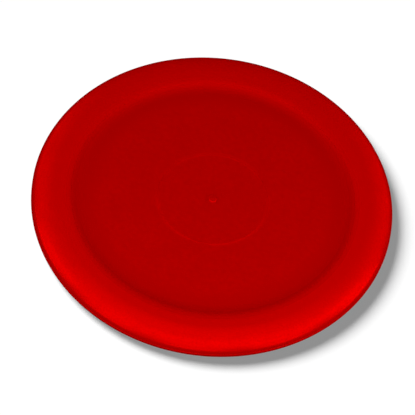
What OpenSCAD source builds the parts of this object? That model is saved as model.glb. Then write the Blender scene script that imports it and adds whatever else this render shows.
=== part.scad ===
// Air hockey puck: flat and round, with a rounded rim and a shallow recess in both faces.
// A rim ring is clamped by its inner flange between two face discs of the same moulding,
// whose pegs pass through the flange, and a two-piece hub snaps together through the middle.

/* [Puck] */
// Outside diameter of the puck
puck_d = 82.55; // [70:0.05:100]
// Height of the puck between its two rest faces
puck_h = 6.35; // [5.5:0.05:9]
// Depth of the recess in each face below the rest face
recess_depth = 0.45; // [0.3:0.05:1.2]

/* [Rim ring] */
// Radial width of the rounded shoulder outside the rest face
shoulder_w = 5.8; // [3:0.1:7]
// Height of the upright band at the outer edge
edge_band_h = 0.6; // [0.2:0.1:2]
// Radial width of the flat rest face
land_w = 1.3; // [1:0.05:4]
// Radial run of the rounded crest from the rest face down to the middle of the slope
crest_w = 2.5; // [2.2:0.1:3.5]
// Radial run of the crest from the rest face to the joint with a face disc
joint_w = 1.8; // [1.2:0.1:1.9]
// Radial reach of the flange that the discs clamp
flange_w = 5.5; // [4.5:0.1:8]
// Thickness of the flange
flange_t = 1.6; // [0.8:0.05:2]

/* [Face discs] */
// Radial run of the hollow foot of the slope, where the floor of a disc turns up
dish_w = 2.2; // [1.2:0.1:3]
// Gap round the edge of a disc, where it meets the rim ring
rim_gap = 0.1; // [0.05:0.01:0.3]
// Bevel on the edges that face each other across a joint line
edge_bevel = 0.12; // [0.05:0.01:0.3]
// Diameter of a peg
peg_d = 2.6; // [1.5:0.1:3.5]
// Length of the lead-in at the tip of a peg
peg_lead = 0.2; // [0.1:0.05:0.3]
// How far a peg is rooted in its own disc
peg_root = 0.3; // [0.1:0.05:0.6]
// Number of pegs on each disc, with as many sockets between them
peg_count = 6; // [3:1:8]
// Gap round a peg in its hole and at its tip
peg_gap = 0.05; // [0.02:0.01:0.15]
// Thickness of the disc left over a socket
socket_skin = 0.6; // [0.3:0.05:0.8]

/* [Hub] */
// Diameter of a hub cap
hub_d = 25.4; // [18:0.1:36]
// Thickness of a hub cap's head
hub_head_t = 1.1; // [0.6:0.05:1.4]
// Gap round a hub cap and its boss in the discs
hub_gap = 0.06; // [0.03:0.01:0.2]
// Outside diameter of the stem under the upper cap
stem_d = 10; // [7:0.1:12]
// Wall of the stem
stem_wall = 1.2; // [0.8:0.1:2]
// Wall of the boss that takes the stem
boss_wall = 1.4; // [0.8:0.1:2]
// Gap between the stem and its boss
stem_gap = 0.04; // [0.02:0.01:0.1]
// Gap between the end of the stem or boss and the head it faces
stem_end_gap = 0.1; // [0.05:0.01:0.3]
// How far the snap bead stands out from the stem
bead_rise = 0.15; // [0.05:0.01:0.25]
// Height of the snap bead
bead_h = 0.6; // [0.3:0.05:0.9]
// Diameter of the moulding mark in the middle of a cap
gate_d = 1.8; // [1:0.1:3]
// Height of the moulding mark
gate_h = 0.3; // [0.1:0.05:0.6]

/* [Hidden] */
$fn = 128;
// Straight steps in each arc of an outline
arc_steps = 16;
// How far a cut runs past the face that it opens
cut_over = 0.5;
rim_colour = "#c60000";
disc_colour = "#a80000";

// Heights are measured from the middle plane of the puck, because both faces are alike
half_h = puck_h / 2;
floor_z = half_h - recess_depth;
lip_z = flange_t / 2;
seat_z = floor_z - hub_head_t;

// Radii of the rim ring, from its outer edge inwards
puck_r = puck_d / 2;
land_out_r = puck_r - shoulder_w;
land_in_r = land_out_r - land_w;
rim_in_r = land_in_r - joint_w;
flange_r = rim_in_r - flange_w;

// The slope of the recess is two bends that meet in one tangent: a rounded crest and a hollow foot
slope_turn = 2 * atan(recess_depth / (crest_w + dish_w));
crest_bend = crest_w / sin(slope_turn);
crest_mid_z = half_h - crest_bend;
dish_bend = dish_w / sin(slope_turn);
rim_turn = asin(joint_w / crest_bend);

// Radii of the face discs, and the height of the upturned edge, which ends on the crest
disc_r = rim_in_r - rim_gap;
floor_r = land_in_r - crest_w - dish_w;
disc_turn = asin((land_in_r - disc_r + edge_bevel) / crest_bend);
disc_edge_z = crest_mid_z + crest_bend * cos(disc_turn);
rebate_r = flange_r - rim_gap;
peg_r = peg_d / 2;
peg_hole_r = peg_r + peg_gap;
peg_circle_r = (flange_r + rim_in_r) / 2;
peg_step = 360 / peg_count;
peg_turn = peg_step / 4;
socket_top_z = floor_z - socket_skin;
peg_tip_z = peg_gap - socket_top_z;

// Radii of the hub
hub_r = hub_d / 2;
hub_seat_r = hub_r + hub_gap;
stem_r = stem_d / 2;
stem_in_r = stem_r - stem_wall;
boss_in_r = stem_r + stem_gap;
boss_r = boss_in_r + boss_wall;
disc_bore_r = boss_r + hub_gap;
stem_end_z = stem_end_gap - seat_z;
gate_r = gate_d / 2;

// Points along an arc with the given centre and radii, without the first one if it is already there
function arc(centre, radii, from, to, first = 0) = [
    for (i = [first:arc_steps])
        let (a = from + (to - from) * i / arc_steps)
        centre + [radii.x * cos(a), radii.y * sin(a)]
];

// An outline above the middle plane, followed by its mirror image below
function mirrored(upper) = concat(
    upper,
    [for (i = [len(upper) - 1:-1:0]) [upper[i].x, -upper[i].y]]
);

// Section of the rim ring above the middle plane, from the flange to the outer edge
rim_section = concat(
    [[flange_r, lip_z], [rim_in_r, lip_z]],
    arc([land_in_r, crest_mid_z], [crest_bend, crest_bend], 90 + rim_turn, 90),
    arc([land_out_r, edge_band_h / 2], [shoulder_w, half_h - edge_band_h / 2], 90, 0)
);

// Section of a face disc, with the rebate for the flange, the upturned edge and the seat for the hub cap
disc_section = concat(
    [
        [disc_bore_r, 0],
        [rebate_r, 0],
        [rebate_r, lip_z],
        [disc_r, lip_z],
        [disc_r, disc_edge_z - edge_bevel]
    ],
    arc([land_in_r, crest_mid_z], [crest_bend, crest_bend], 90 + disc_turn, 90 + slope_turn),
    arc([floor_r, floor_z + dish_bend], [dish_bend, dish_bend], slope_turn - 90, -90, 1),
    [
        [hub_seat_r + edge_bevel, floor_z],
        [hub_seat_r, floor_z - edge_bevel],
        [hub_seat_r, seat_z],
        [disc_bore_r, seat_z]
    ]
);

// Section of a cap's head from its underside to its middle, with the raised moulding mark
head_section = [
    [hub_r, seat_z],
    [hub_r, floor_z - edge_bevel],
    [hub_r - edge_bevel, floor_z],
    [gate_r, floor_z],
    [gate_r - edge_bevel, floor_z + gate_h],
    [0, floor_z + gate_h],
    [0, seat_z]
];

// Section of the stem, with its snap bead on the middle plane
stem_section = [
    [stem_in_r, seat_z],
    [stem_in_r, stem_end_z],
    [stem_r, stem_end_z],
    [stem_r, -bead_h / 2],
    [stem_r + bead_rise, 0],
    [stem_r, bead_h / 2],
    [stem_r, seat_z]
];

// Section of the boss, with the groove that the snap bead drops into
boss_section = [
    [boss_in_r, seat_z],
    [boss_in_r, bead_h / 2],
    [boss_in_r + bead_rise, 0],
    [boss_in_r, -bead_h / 2],
    [boss_in_r, stem_end_z],
    [boss_r, stem_end_z],
    [boss_r, seat_z]
];

// Copies around the peg circle, starting at the given angle
module around_peg_circle(start) {
    for (k = [0:peg_count - 1])
        rotate(start + k * peg_step)
            translate([peg_circle_r, 0, 0])
                children();
}

// A peg from its root in the disc to its tip in the other disc's socket
module peg() {
    translate([0, 0, peg_tip_z])
        cylinder(h = peg_lead, r1 = peg_r - peg_lead, r2 = peg_r);
    translate([0, 0, peg_tip_z + peg_lead])
        cylinder(h = lip_z + peg_root - peg_tip_z - peg_lead, r = peg_r);
}

// A blind hole in the rebate of a disc
module socket() {
    translate([0, 0, lip_z - cut_over])
        cylinder(h = socket_top_z - lip_z + cut_over, r = peg_hole_r);
}

// One face disc, lying above the middle plane with its pegs pointing down
module face_disc() {
    difference() {
        union() {
            rotate_extrude()
                polygon(disc_section);
            around_peg_circle(peg_turn)
                peg();
        }
        around_peg_circle(-peg_turn)
            socket();
    }
}

// One hub cap, lying above the middle plane, with the given stem or boss under its head
module hub_cap(shank_section) {
    rotate_extrude()
        polygon(concat(shank_section, head_section));
}

// Puts a piece at the height of the middle plane
module upper_side() {
    translate([0, 0, half_h])
        children();
}

// Turns a piece over onto the lower face
module lower_side() {
    upper_side()
        rotate([180, 0, 0])
            children();
}

module rim_ring() {
    color(rim_colour)
        upper_side()
            difference() {
                rotate_extrude()
                    polygon(mirrored(rim_section));
                for (start = [peg_turn, -peg_turn])
                    around_peg_circle(start)
                        translate([0, 0, -lip_z - cut_over])
                            cylinder(h = flange_t + 2 * cut_over, r = peg_hole_r);
            }
}

module upper_face_disc() {
    color(disc_colour)
        upper_side()
            face_disc();
}

module lower_face_disc() {
    color(disc_colour)
        lower_side()
            face_disc();
}

module upper_hub_cap() {
    color(disc_colour)
        upper_side()
            hub_cap(stem_section);
}

module lower_hub_cap() {
    color(disc_colour)
        lower_side()
            hub_cap(boss_section);
}

rim_ring();
upper_face_disc();
lower_face_disc();
upper_hub_cap();
lower_hub_cap();
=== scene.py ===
import math

import bmesh
import bpy
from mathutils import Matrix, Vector


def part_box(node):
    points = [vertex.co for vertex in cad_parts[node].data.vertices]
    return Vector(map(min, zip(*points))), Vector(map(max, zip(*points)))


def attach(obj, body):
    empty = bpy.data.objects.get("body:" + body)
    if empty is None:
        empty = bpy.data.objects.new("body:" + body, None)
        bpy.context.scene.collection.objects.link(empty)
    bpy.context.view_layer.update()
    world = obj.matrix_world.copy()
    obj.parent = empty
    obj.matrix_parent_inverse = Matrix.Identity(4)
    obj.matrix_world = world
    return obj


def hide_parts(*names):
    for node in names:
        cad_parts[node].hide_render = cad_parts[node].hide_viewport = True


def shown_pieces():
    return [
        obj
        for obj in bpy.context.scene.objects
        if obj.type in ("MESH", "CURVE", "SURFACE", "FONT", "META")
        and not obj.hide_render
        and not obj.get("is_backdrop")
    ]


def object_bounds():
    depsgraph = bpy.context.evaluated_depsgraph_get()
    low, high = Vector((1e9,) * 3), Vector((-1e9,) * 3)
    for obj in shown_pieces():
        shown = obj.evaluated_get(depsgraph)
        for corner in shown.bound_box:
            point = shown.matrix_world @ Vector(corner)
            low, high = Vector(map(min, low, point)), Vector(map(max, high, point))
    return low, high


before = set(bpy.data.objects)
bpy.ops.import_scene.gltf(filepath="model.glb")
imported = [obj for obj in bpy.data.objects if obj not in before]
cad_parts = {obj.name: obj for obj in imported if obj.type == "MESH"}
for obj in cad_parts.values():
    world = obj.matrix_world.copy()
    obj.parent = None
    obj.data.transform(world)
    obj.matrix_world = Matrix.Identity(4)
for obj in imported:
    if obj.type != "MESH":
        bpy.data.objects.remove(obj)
cad_low, cad_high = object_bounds()

# Face discs: the floors of the two recesses, in a stiff plastic with a fine matt face.
# One moulding is used twice. It has pegs and sockets on its inner side, and the lower disc,
# which is laid down first, is the same piece turned over.
MM = 0.001
turn_steps = 240
merge_reach = 0.001 * MM
pick_reach = 0.01 * MM
smooth_angle = math.radians(35)
puck_mid = (cad_low + cad_high) / 2
half_h = cad_high.z - puck_mid.z
recess_depth = 0.45 * MM
floor_z = half_h - recess_depth
rim_gap = 0.1 * MM
joint_gap = 0.015 * MM
joint_round = 0.03 * MM
round_segments = 3
rim_in_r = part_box("upper_face_disc")[1].x + rim_gap
disc_r = rim_in_r - joint_gap
joint_w = 1.8 * MM
crest_w = 2.5 * MM
dish_w = 2.2 * MM
land_in_r = rim_in_r + joint_w
floor_r = land_in_r - crest_w - dish_w
slope_turn = 2 * math.atan(recess_depth / (crest_w + dish_w))
crest_bend = crest_w / math.sin(slope_turn)
crest_mid_z = half_h - crest_bend
dish_bend = dish_w / math.sin(slope_turn)
disc_turn = math.asin((land_in_r - disc_r) / crest_bend)
disc_edge_z = crest_mid_z + crest_bend * math.cos(disc_turn)
slope_steps = 12
flange_w = 5.5 * MM
flange_r = rim_in_r - flange_w
rebate_r = flange_r - rim_gap
lip_z = 0.8 * MM
hub_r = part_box("upper_hub_cap")[1].x
hub_seat_r = hub_r + joint_gap
hub_head_t = 1.1 * MM
hub_seat_z = floor_z - hub_head_t
disc_bore_r = 6.5 * MM
peg_r = 1.3 * MM
peg_gap = 0.05 * MM
peg_lead = 0.2 * MM
peg_root = 0.3 * MM
peg_sides = 48
peg_circle_r = (flange_r + rim_in_r) / 2
peg_count = 6
peg_turn = math.tau / peg_count / 4
socket_skin = 0.6 * MM
socket_top_z = floor_z - socket_skin
peg_tip_z = peg_gap - socket_top_z


def draw_section(name, points):
    """Draws half a section in the XZ plane from point to point, with heights from the middle plane."""
    bpy.ops.object.select_all(action="DESELECT")
    bpy.ops.mesh.primitive_plane_add(size=MM, rotation=(math.pi / 2, 0, 0))
    piece = bpy.context.object
    piece.name = name
    piece.data.name = name
    bpy.ops.object.transform_apply(rotation=True)
    bpy.ops.object.mode_set(mode="EDIT")
    bpy.ops.mesh.select_mode(type="VERT")
    bpy.ops.mesh.select_all(action="SELECT")
    bpy.ops.mesh.merge(type="CENTER")
    bpy.ops.transform.translate(value=(points[0][0], 0, points[0][1]))
    for here, there in zip(points, points[1:]):
        run = (there[0] - here[0], 0, there[1] - here[1])
        bpy.ops.mesh.extrude_region_move(TRANSFORM_OT_translate={"value": run})
    return piece


def select_points(piece, wanted):
    """Selects the points that a test on their place picks out, with the edges and faces between them."""
    bpy.ops.mesh.select_all(action="DESELECT")
    mesh = bmesh.from_edit_mesh(piece.data)
    for point in mesh.verts:
        point.select_set(wanted(point.co))
    mesh.select_flush(True)
    bmesh.update_edit_mesh(piece.data)


def turn_section():
    """Spins the section in hand round the puck's axis and closes the seam and the poles."""
    bpy.ops.mesh.select_all(action="SELECT")
    bpy.ops.mesh.spin(steps=turn_steps, angle=math.tau, center=(0, 0, 0), axis=(0, 0, 1))
    bpy.ops.mesh.select_all(action="SELECT")
    bpy.ops.mesh.remove_doubles(threshold=merge_reach)
    bpy.ops.mesh.normals_make_consistent(inside=False)


def round_rings(piece, rings, width, segments):
    """Rounds the sharp edges that run round the piece at the given radii and heights."""
    for ring_r, ring_z in rings:
        def on_ring(place):
            off_r = math.hypot(place.x, place.y) - ring_r
            return math.hypot(off_r, place.z - ring_z) < pick_reach
        select_points(piece, on_ring)
        bpy.ops.mesh.bevel(offset=width, segments=segments, affect="EDGES")


def peg_tools(name, radius, low_z, high_z, lead, start):
    """Makes the pegs or peg holes of one disc as one object: a cylinder with a lead-in, copied round."""
    bpy.ops.object.select_all(action="DESELECT")
    bpy.ops.mesh.primitive_cylinder_add(vertices=peg_sides, radius=radius, depth=high_z - low_z)
    first = bpy.context.object
    first.name = name
    bpy.ops.object.mode_set(mode="EDIT")
    if lead:
        select_points(first, lambda place: place.z < 0)
        bpy.ops.mesh.bevel(offset=lead, segments=1, affect="EDGES")
    bpy.ops.object.mode_set(mode="OBJECT")
    pegs = [first]
    while len(pegs) < peg_count:
        copy = first.copy()
        copy.data = first.data.copy()
        bpy.context.collection.objects.link(copy)
        pegs.append(copy)
    for number, peg in enumerate(pegs):
        angle = start + number * math.tau / peg_count
        peg.location.x = peg_circle_r * math.cos(angle)
        peg.location.y = peg_circle_r * math.sin(angle)
        peg.location.z = (low_z + high_z) / 2
        peg.select_set(True)
    bpy.context.view_layer.objects.active = first
    bpy.ops.object.join()
    bpy.ops.object.transform_apply(location=True)
    return first


def combine(piece, tool, operation):
    """Adds a tool object to a piece, or cuts it out, removes the tool and merges slivers left behind."""
    bpy.ops.object.select_all(action="DESELECT")
    bpy.context.view_layer.objects.active = piece
    piece.select_set(True)
    bpy.ops.object.modifier_add(type="BOOLEAN")
    step = piece.modifiers[-1]
    step.object = tool
    step.operation = operation
    bpy.ops.object.modifier_apply(modifier=step.name)
    bpy.data.objects.remove(tool)
    bpy.ops.object.mode_set(mode="EDIT")
    bpy.ops.mesh.select_all(action="SELECT")
    bpy.ops.mesh.remove_doubles(threshold=merge_reach)
    bpy.ops.object.mode_set(mode="OBJECT")


def finish_mesh(piece, turned_over):
    """Moves a piece from the middle plane to its place in the puck and gives it its smooth shading."""
    bpy.ops.object.select_all(action="DESELECT")
    bpy.context.view_layer.objects.active = piece
    piece.select_set(True)
    piece.rotation_euler.x = math.pi if turned_over else 0
    piece.location.z = puck_mid.z
    bpy.ops.object.transform_apply(location=True, rotation=True, scale=True)
    bpy.ops.object.shade_smooth_by_angle(angle=smooth_angle)
    bpy.ops.object.modifier_add(type="WEIGHTED_NORMAL")
    piece.modifiers[-1].keep_sharp = True
    bpy.ops.object.modifier_apply(modifier=piece.modifiers[-1].name)


def red_plastic(name):
    """Starts a red plastic. Its small metallic share keeps the sheen as red as the plastic itself."""
    sheen_share = 0.22
    sheen_tint = (1, 0.02, 0.02, 1)
    material = bpy.data.materials.new(name)
    material.use_nodes = True
    shader = material.node_tree.nodes["Principled BSDF"]
    shader.inputs["Metallic"].default_value = sheen_share
    shader.inputs["Specular IOR Level"].default_value = 0
    shader.inputs["Specular Tint"].default_value = sheen_tint
    return material


def object_place(tree):
    """Gives the place of each point of the surface, in the puck's own frame."""
    return tree.nodes.new("ShaderNodeTexCoord").outputs["Object"]


def calculate(tree, operation, *values):
    """Adds a sum of the given kind, with numbers or other nodes' results as its values."""
    node = tree.nodes.new("ShaderNodeMath")
    node.operation = operation
    for socket, value in zip(node.inputs, values):
        if isinstance(value, bpy.types.NodeSocket):
            tree.links.new(value, socket)
        else:
            socket.default_value = value
    return node.outputs["Value"]


def split_place(tree, place):
    """Splits a place into its X, Y and Z."""
    split = tree.nodes.new("ShaderNodeSeparateXYZ")
    tree.links.new(place, split.inputs["Vector"])
    return split.outputs


def axis_distance(tree, place):
    """Gives the distance of each point of the surface from the puck's axis."""
    parts = split_place(tree, place)
    squares = [calculate(tree, "POWER", parts[axis], 2) for axis in "XY"]
    return calculate(tree, "SQRT", calculate(tree, "ADD", *squares))


def distance_from(tree, value, middle):
    """Gives how far a value lies from a middle value, on either side."""
    return calculate(tree, "ABSOLUTE", calculate(tree, "SUBTRACT", value, middle))


def ramp(tree, value, start, end, low, high):
    """Maps a range of values smoothly to another range."""
    node = tree.nodes.new("ShaderNodeMapRange")
    node.interpolation_type = "SMOOTHSTEP"
    tree.links.new(value, node.inputs["Value"])
    node.inputs["From Min"].default_value = start
    node.inputs["From Max"].default_value = end
    node.inputs["To Min"].default_value = low
    node.inputs["To Max"].default_value = high
    return node.outputs["Result"]


def mix_reds(tree, share, first, second):
    """Mixes two reds by a share, each given as a red level or as another node's colour."""
    node = tree.nodes.new("ShaderNodeMix")
    node.data_type = "RGBA"
    tree.links.new(share, node.inputs["Factor"])
    for socket, red in ((node.inputs[6], first), (node.inputs[7], second)):
        if isinstance(red, bpy.types.NodeSocket):
            tree.links.new(red, socket)
        else:
            socket.default_value = (red, 0, 0, 1)
    return node.outputs[2]


def noise(tree, place, size, detail):
    """Gives a noise pattern with features of about the given size."""
    node = tree.nodes.new("ShaderNodeTexNoise")
    tree.links.new(place, node.inputs["Vector"])
    node.inputs["Scale"].default_value = 1 / size
    node.inputs["Detail"].default_value = detail
    return node.outputs["Fac"]


def roughen(tree, height, strength):
    """Gives the surface a fine relief from a pattern."""
    relief_h = 0.03 * MM
    bump = tree.nodes.new("ShaderNodeBump")
    tree.links.new(height, bump.inputs["Height"])
    bump.inputs["Strength"].default_value = strength
    bump.inputs["Distance"].default_value = relief_h
    tree.links.new(bump.outputs["Normal"], tree.nodes["Principled BSDF"].inputs["Normal"])


def foot_shade_fade(tree, radius):
    """Gives the share that fades the painted shade at the foot of the slope into the crest's own tone:
    none at the foot, full at the crest.
    """
    foot_shade_from_r = rim_in_r - 1.0 * MM
    foot_shade_to_r = rim_in_r + 0.7 * MM
    return ramp(tree, radius, foot_shade_from_r, foot_shade_to_r, 0, 1)


def crest_roughness(tree, radius):
    """Gives the roughness of the plastic, which is rubbed smoother along the crest of the slope."""
    crest_reach = 1.8 * MM
    rubbed_roughness = 0.2
    plain_roughness = 0.3
    from_crest = distance_from(tree, radius, rim_in_r)
    return ramp(tree, from_crest, 0, crest_reach, rubbed_roughness, plain_roughness)


def matt_disc_plastic(name):
    """Red plastic with the matt grain of an etched mould, with painted shade darkening it towards the
    foot of the recess's slope and a painted highlight as a pale ring round the hub.
    """
    floor_dark = 0.4
    floor_light = 0.425
    floor_speck = 0.37
    # The first red below is painted shade at the foot of the slope, the last a painted highlight round
    # the hub.
    foot_shade_red = 0.365
    crest_red = 0.47
    hub_glint_red = 0.442
    grain_size = 1.0 * MM
    grain_share = 0.9
    grain_relief = 0.25
    mottle_size = 4 * MM
    foot_shade_w = 4.5 * MM
    hub_glint_w = 0.8 * MM
    hub_glint_gap_size = 8 * MM
    hub_glint_least = 0.1
    material = red_plastic(name)
    tree = material.node_tree
    shader = tree.nodes["Principled BSDF"]
    place = object_place(tree)
    radius = axis_distance(tree, place)
    grain = noise(tree, place, grain_size, 3)
    mottle = noise(tree, place, mottle_size, 3)
    glint_gap_noise = noise(tree, place, hub_glint_gap_size, 1)
    body = mix_reds(tree, ramp(tree, mottle, 0.3, 0.7, 0, 1), floor_dark, floor_light)
    speckled = mix_reds(tree, ramp(tree, grain, 0.3, 0.75, 0, grain_share), body, floor_speck)
    # Painted highlight: a pale ring round the hub, broken up by noise, stands in for the glint on the
    # cap's edge.
    hub_glint_ring = ramp(tree, distance_from(tree, radius, hub_r), 0, hub_glint_w, 1, 0)
    hub_glint_gaps = ramp(tree, glint_gap_noise, 0.4, 0.6, hub_glint_least, 1)
    hub_glint_share = calculate(tree, "MULTIPLY", hub_glint_ring, hub_glint_gaps)
    hub_glinted = mix_reds(tree, hub_glint_share, speckled, hub_glint_red)
    # Painted shade: the floor darkens towards the foot of the slope, where the rim's shade falls in the
    # recess.
    foot_shade_share = ramp(tree, radius, floor_r - foot_shade_w, floor_r, 0, 1)
    floor_foot_shaded = mix_reds(tree, foot_shade_share, hub_glinted, foot_shade_red)
    # The painted shade at the foot fades into the crest's own tone up the slope.
    foot_shade_faded = mix_reds(tree, foot_shade_fade(tree, radius), floor_foot_shaded, crest_red)
    tree.links.new(foot_shade_faded, shader.inputs["Base Color"])
    tree.links.new(crest_roughness(tree, radius), shader.inputs["Roughness"])
    roughen(tree, grain, grain_relief)
    return material


upper_disc = draw_section("upper_face_disc_shell", [
    (floor_r, floor_z),
    (hub_seat_r, floor_z),
    (hub_seat_r, hub_seat_z),
    (disc_bore_r, hub_seat_z),
    (disc_bore_r, 0),
    (rebate_r, 0),
    (rebate_r, lip_z),
    (disc_r, lip_z),
    (disc_r, disc_edge_z),
])
bpy.ops.mesh.spin(
    steps=slope_steps,
    angle=slope_turn - disc_turn,
    center=(land_in_r, 0, crest_mid_z),
    axis=(0, 1, 0),
)
bpy.ops.mesh.spin(
    steps=slope_steps,
    angle=-slope_turn,
    center=(floor_r, 0, floor_z + dish_bend),
    axis=(0, 1, 0),
)
turn_section()
round_rings(upper_disc, [(disc_r, disc_edge_z)], joint_round, round_segments)
bpy.ops.object.mode_set(mode="OBJECT")
pegs = peg_tools("pegs", peg_r, peg_tip_z, lip_z + peg_root, peg_lead, peg_turn)
combine(upper_disc, pegs, "UNION")
sockets = peg_tools("sockets", peg_r + peg_gap, 0, socket_top_z, 0, -peg_turn)
combine(upper_disc, sockets, "DIFFERENCE")
upper_disc.data.materials.append(matt_disc_plastic("matt_disc_plastic"))
lower_disc = upper_disc.copy()
lower_disc.data = upper_disc.data.copy()
lower_disc.name = "lower_face_disc_shell"
bpy.context.collection.objects.link(lower_disc)
finish_mesh(upper_disc, turned_over=False)
finish_mesh(lower_disc, turned_over=True)
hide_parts("upper_face_disc")
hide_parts("lower_face_disc")
for disc in (upper_disc, lower_disc):
    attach(disc, "root")

# Rim ring: the part that glides and takes the knocks, moulded in a tough, slippery plastic.
# It is satin; a painted highlight makes its rounded shoulder paler, and painted shade darkens the foot of
# its slope and the band round its mould line. The discs clamp its inner flange, with their
# pegs through its holes, because glue doesn't hold on such a plastic.
puck_r = cad_high.x
shoulder_w = 5.8 * MM
edge_band_h = 0.6 * MM
land_out_r = puck_r - shoulder_w
land_w = land_out_r - land_in_r
rim_turn = math.asin(joint_w / crest_bend)
rim_edge_z = crest_mid_z + crest_bend * math.cos(rim_turn)
shoulder_steps = 28
mould_line_h = 0.08 * MM
mould_line_depth = 0.03 * MM


def satin_rim_plastic():
    """Red plastic with a satin face, with a painted highlight making the shoulder paler and painted shade
    at the foot of the slope and beside the mould line.
    """
    # The foot's red is painted shade, and the shoulder's reds are lifted as a painted highlight.
    foot_shade_red = 0.365
    land_red = 0.465
    shoulder_dark = 0.55
    shoulder_light = 0.58
    speck_red = 0.44
    # A band of painted shade either side of the mould line.
    edge_shade_red = 0.38
    edge_shade_z = 0.9 * MM
    edge_shade_reach = 1.5 * MM
    lit_shoulder_r = puck_r - 1.8 * MM
    grain_size = 0.5 * MM
    grain_share = 0.6
    grain_relief = 0.1
    mottle_size = 5 * MM
    material = red_plastic("satin_rim_plastic")
    tree = material.node_tree
    shader = tree.nodes["Principled BSDF"]
    place = object_place(tree)
    radius = axis_distance(tree, place)
    grain = noise(tree, place, grain_size, 3)
    mottle = noise(tree, place, mottle_size, 3)
    body = mix_reds(tree, ramp(tree, mottle, 0.3, 0.7, 0, 1), shoulder_dark, shoulder_light)
    # Painted highlight: the shoulder is painted paler outwards, where the light falls on it.
    shoulder_lit = mix_reds(tree, ramp(tree, radius, land_out_r, lit_shoulder_r, 0, 1), land_red, body)
    specked = mix_reds(tree, ramp(tree, grain, 0.35, 0.8, 0, grain_share), shoulder_lit, speck_red)
    # Painted shade at the foot of the slope, fading into the land's own tone at the crest.
    foot_shade_faded = mix_reds(tree, foot_shade_fade(tree, radius), foot_shade_red, specked)
    # Painted shade: a darker band either side of the mould line darkens the outer edge where it turns
    # from the light.
    rise = distance_from(tree, split_place(tree, place)["Z"], puck_mid.z)
    edge_shade_share = ramp(tree, distance_from(tree, rise, edge_shade_z), 0, edge_shade_reach, 1, 0)
    edge_shaded = mix_reds(tree, edge_shade_share, foot_shade_faded, edge_shade_red)
    tree.links.new(edge_shaded, shader.inputs["Base Color"])
    tree.links.new(crest_roughness(tree, radius), shader.inputs["Roughness"])
    roughen(tree, grain, grain_relief)
    return material


bpy.ops.object.select_all(action="DESELECT")
bpy.ops.mesh.primitive_circle_add(
    vertices=4 * shoulder_steps,
    radius=shoulder_w,
    location=(land_out_r, 0, 0),
    rotation=(math.pi / 2, 0, 0),
)
rim = bpy.context.object
rim.name = "rim_ring_shell"
rim.data.name = rim.name
bpy.ops.object.transform_apply(location=True, rotation=True)
bpy.ops.object.mode_set(mode="EDIT")
bpy.ops.mesh.select_mode(type="VERT")
select_points(rim, lambda place: place.x < land_out_r - pick_reach)
bpy.ops.mesh.delete(type="VERT")
bpy.ops.mesh.select_all(action="SELECT")
flatten = (half_h - edge_band_h / 2) / shoulder_w
bpy.ops.transform.resize(value=(1, 1, flatten), center_override=(0, 0, 0))
for side in (1, -1):
    select_points(rim, lambda place: place.z * side > pick_reach)
    bpy.ops.transform.translate(value=(0, 0, side * edge_band_h / 2))
select_points(rim, lambda place: abs(place.z) < pick_reach)
bpy.ops.mesh.bevel(offset=mould_line_h / 2, segments=2, affect="VERTICES")
select_points(rim, lambda place: abs(place.z) < pick_reach)
bpy.ops.transform.translate(value=(-mould_line_depth, 0, 0))
for side in (1, -1):
    select_points(rim, lambda place: place.z * side > half_h - merge_reach)
    bpy.ops.mesh.extrude_region_move(TRANSFORM_OT_translate={"value": (-land_w, 0, 0)})
    bpy.ops.mesh.spin(
        steps=slope_steps,
        angle=side * rim_turn,
        center=(land_in_r, 0, side * crest_mid_z),
        axis=(0, 1, 0),
    )
    wall_drop = side * (lip_z - rim_edge_z)
    bpy.ops.mesh.extrude_region_move(TRANSFORM_OT_translate={"value": (0, 0, wall_drop)})
    bpy.ops.mesh.extrude_region_move(TRANSFORM_OT_translate={"value": (-flange_w, 0, 0)})
select_points(rim, lambda place: place.x < flange_r + pick_reach)
bpy.ops.mesh.edge_face_add()
turn_section()
rim_joints = [(rim_in_r, rim_edge_z), (rim_in_r, -rim_edge_z)]
round_rings(rim, rim_joints, joint_round, round_segments)
bpy.ops.object.mode_set(mode="OBJECT")
for start in (peg_turn, -peg_turn):
    flange_holes = peg_tools("flange_holes", peg_r + peg_gap, -2 * lip_z, 2 * lip_z, 0, start)
    combine(rim, flange_holes, "DIFFERENCE")
rim.data.materials.append(satin_rim_plastic())
finish_mesh(rim, turned_over=False)
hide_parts("rim_ring")
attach(rim, "root")

# Hub caps: two flush buttons of the discs' plastic that close the middle of the puck.
# The stem under the upper one is pushed into the boss of the lower one until its bead snaps home,
# and each has the small raised mark of its moulding in the centre.
edge_bead_w = 0.42 * MM
edge_bead_h = 0.04 * MM
stem_r = 5 * MM
stem_wall = 1.2 * MM
stem_in_r = stem_r - stem_wall
stem_gap = 0.04 * MM
boss_wall = 1.4 * MM
boss_in_r = stem_r + stem_gap
boss_r = boss_in_r + boss_wall
shank_end_gap = 0.1 * MM
shank_end_z = shank_end_gap - hub_seat_z
bead_rise = 0.15 * MM
bead_h = 0.6 * MM
gate_r = 0.9 * MM
gate_h = 0.3 * MM
gate_round = 0.15 * MM
gate_segments = 4
head_section = [
    (hub_r, hub_seat_z),
    (hub_r, floor_z),
    (hub_r - edge_bead_w / 2, floor_z + edge_bead_h),
    (hub_r - edge_bead_w, floor_z),
    (gate_r, floor_z),
    (gate_r, floor_z + gate_h),
    (0, floor_z + gate_h),
    (0, hub_seat_z),
]
stem_section = [
    (stem_in_r, hub_seat_z),
    (stem_in_r, shank_end_z),
    (stem_r, shank_end_z),
    (stem_r, -bead_h / 2),
    (stem_r + bead_rise, 0),
    (stem_r, bead_h / 2),
    (stem_r, hub_seat_z),
]
boss_section = [
    (boss_in_r, hub_seat_z),
    (boss_in_r, bead_h / 2),
    (boss_in_r + bead_rise, 0),
    (boss_in_r, -bead_h / 2),
    (boss_in_r, shank_end_z),
    (boss_r, shank_end_z),
    (boss_r, hub_seat_z),
]
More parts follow.
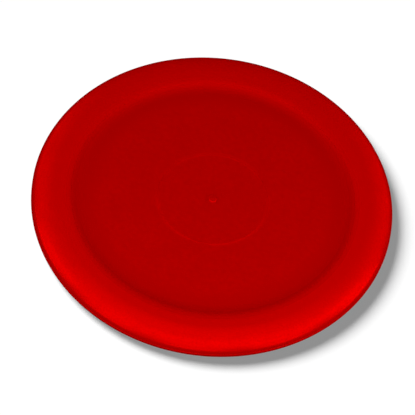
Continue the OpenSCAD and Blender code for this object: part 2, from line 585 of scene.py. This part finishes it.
# The pale red of a painted highlight round the edge of the moulding mark, and its width.
mark_glint_red = 0.49
mark_glint_w = 0.3 * MM


def painted_glint_cap_plastic():
    """The discs' plastic, with a painted highlight as a pale ring along the edge of the moulding mark."""
    material = matt_disc_plastic("painted_glint_cap_plastic")
    tree = material.node_tree
    colour = tree.nodes["Principled BSDF"].inputs["Base Color"]
    radius = axis_distance(tree, object_place(tree))
    # Painted highlight: a pale ring round the edge of the moulding mark stands in for its glint.
    mark_glint_share = ramp(tree, distance_from(tree, radius, gate_r), 0, mark_glint_w, 1, 0)
    mark_glinted = mix_reds(tree, mark_glint_share, colour.links[0].from_socket, mark_glint_red)
    tree.links.new(mark_glinted, colour)
    return material


cap_plastic = painted_glint_cap_plastic()
for node, shank_section, turned_over in (
    ("upper_hub_cap", stem_section, False),
    ("lower_hub_cap", boss_section, True),
):
    cap = draw_section(node + "_shell", shank_section + head_section + shank_section[:1])
    turn_section()
    round_rings(cap, [(hub_r - edge_bead_w / 2, floor_z + edge_bead_h)], joint_round, round_segments)
    round_rings(cap, [(gate_r, floor_z + gate_h)], gate_round, gate_segments)
    bpy.ops.object.mode_set(mode="OBJECT")
    cap.data.materials.append(cap_plastic)
    finish_mesh(cap, turned_over)
    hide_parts(node)
    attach(cap, "root")

# Table: a plain white surface under the puck, painted matt, which shows as white and keeps the shadow.
# It is kept out of the puck's sheen, which would turn pale along the far edge.
table_w = 3
table_grey = 0.8
table_roughness = 0.9
table_glow = 0.235
bpy.ops.object.select_all(action="DESELECT")
bpy.ops.mesh.primitive_plane_add(size=table_w)
table = bpy.context.object
table.name = "white_table"
white = bpy.data.materials.new("white_table_top")
white.use_nodes = True
white_tree = white.node_tree
white_shader = white_tree.nodes["Principled BSDF"]
white_shader.inputs["Base Color"].default_value = (table_grey, table_grey, table_grey, 1)
white_shader.inputs["Roughness"].default_value = table_roughness
white_shader.inputs["Specular IOR Level"].default_value = 0
white_shader.inputs["Emission Color"].default_value = (1, 1, 1, 1)
table_ray = white_tree.nodes.new("ShaderNodeLightPath").outputs["Is Camera Ray"]
seen_glow = calculate(white_tree, "MULTIPLY", table_ray, table_glow)
white_tree.links.new(seen_glow, white_shader.inputs["Emission Strength"])
table.data.materials.append(white)
table.visible_diffuse = False
table.visible_glossy = False
table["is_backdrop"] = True

# Light: a tent of small softboxes over the front half of the puck, with a few weak ones behind it.
# They light the puck alone, and one broad lamp from the left throws its shadow on the table.
# The puck sends no red back to the table, so that the shadow stays grey.
puck_pieces = bpy.data.collections.new("lit_by_softboxes")
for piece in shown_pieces():
    puck_pieces.objects.link(piece)
    piece.visible_diffuse = False
table_top = bpy.data.collections.new("lit_by_shadow_lamp")
table_top.objects.link(table)
tent_r = 0.35
box_w = 0.175
strip_h = 0.07
low_elevation = 12
front_elevation = 35
high_elevation = 62
top_elevation = 76
low_watts = 0.25
front_watts = 0.235
high_watts = 0.1
high_side_watts = 0.05
back_low_watts = 0.07
back_watts = 0.05
top_watts = 0.13
right_gain = 0.1
shadow_azimuth = -109
shadow_elevation = 50
shadow_strength = 3.9
shadow_spread = math.radians(33)
room_dim = 0.05


def aim_lamp(lamp, azimuth, elevation):
    """Puts a lamp round the puck and points it there, in degrees, with azimuth 0 on the camera's side."""
    turn = math.radians(azimuth)
    rise = math.radians(elevation)
    towards = Vector((
        math.sin(turn) * math.cos(rise),
        -math.cos(turn) * math.cos(rise),
        math.sin(rise),
    ))
    lamp.location = puck_mid + towards * tent_r
    lamp.rotation_euler = towards.to_track_quat("Z", "Y").to_euler()


def softbox(name, azimuth, elevation, height, watts):
    """Adds a softbox of the given height that lights only the puck."""
    bpy.ops.object.light_add(type="AREA")
    lamp = bpy.context.object
    lamp.name = name
    lamp.data.shape = "RECTANGLE"
    lamp.data.size = box_w
    lamp.data.size_y = height
    lamp.data.energy = watts
    aim_lamp(lamp, azimuth, elevation)
    lamp.light_linking.receiver_collection = puck_pieces


for azimuth in (-90, -45, 0, 45, 90):
    side_share = 1 + right_gain * math.sin(math.radians(azimuth))
    overhead_watts = high_watts if abs(azimuth) < 90 else high_side_watts
    softbox("low_strip", azimuth, low_elevation, strip_h, low_watts * side_share)
    softbox("front_softbox", azimuth, front_elevation, box_w, front_watts * side_share)
    softbox("high_softbox", azimuth, high_elevation, box_w, overhead_watts)
for azimuth in (-135, 135):
    softbox("back_strip", azimuth, low_elevation, strip_h, back_low_watts)
    softbox("back_softbox", azimuth, front_elevation, box_w, back_watts)
softbox("top_softbox", 180, top_elevation, box_w, top_watts)
bpy.ops.object.light_add(type="SUN")
shadow_lamp = bpy.context.object
shadow_lamp.name = "shadow_lamp"
shadow_lamp.data.energy = shadow_strength
shadow_lamp.data.angle = shadow_spread
aim_lamp(shadow_lamp, shadow_azimuth, shadow_elevation)
shadow_lamp.light_linking.receiver_collection = table_top
world = bpy.data.worlds.new("studio_room")
bpy.context.scene.world = world
world.use_nodes = True
room = world.node_tree.nodes["Background"]
room.inputs["Color"].default_value = (1, 1, 1, 1)
room_ray = world.node_tree.nodes.new("ShaderNodeLightPath").outputs["Is Camera Ray"]
room_light = ramp(world.node_tree, room_ray, 0, 1, room_dim, 1)
world.node_tree.links.new(room_light, room.inputs["Strength"])

# Camera: a long lens, far off, at the photograph's angle, turned a little about its own axis.
# It is aimed past the puck's middle, so that the puck stands in the frame as it does there.
image_px = 415
puck_r_px = 181.2
puck_right_px = 4.29
puck_up_px = 1.33
view_elevation = math.radians(54.28)
view_roll = math.radians(7.81)
view_distance = 80 * puck_r
bpy.ops.object.camera_add()
camera = bpy.context.object
camera.name = "camera"
camera.rotation_euler = (math.pi / 2 - view_elevation, 0, 0)
camera.rotation_euler.rotate_axis("Z", view_roll)
view_turn = camera.rotation_euler.to_matrix()
aim = puck_mid - view_turn @ Vector((puck_right_px, puck_up_px, 0)) * puck_r / puck_r_px
camera.location = aim + view_turn @ Vector((0, 0, view_distance))
camera.data.lens = puck_r_px * view_distance / puck_r * camera.data.sensor_width / image_px
camera.data.clip_end = 2 * view_distance
bpy.context.scene.camera = camera
bpy.context.scene.view_settings.view_transform = "Standard"
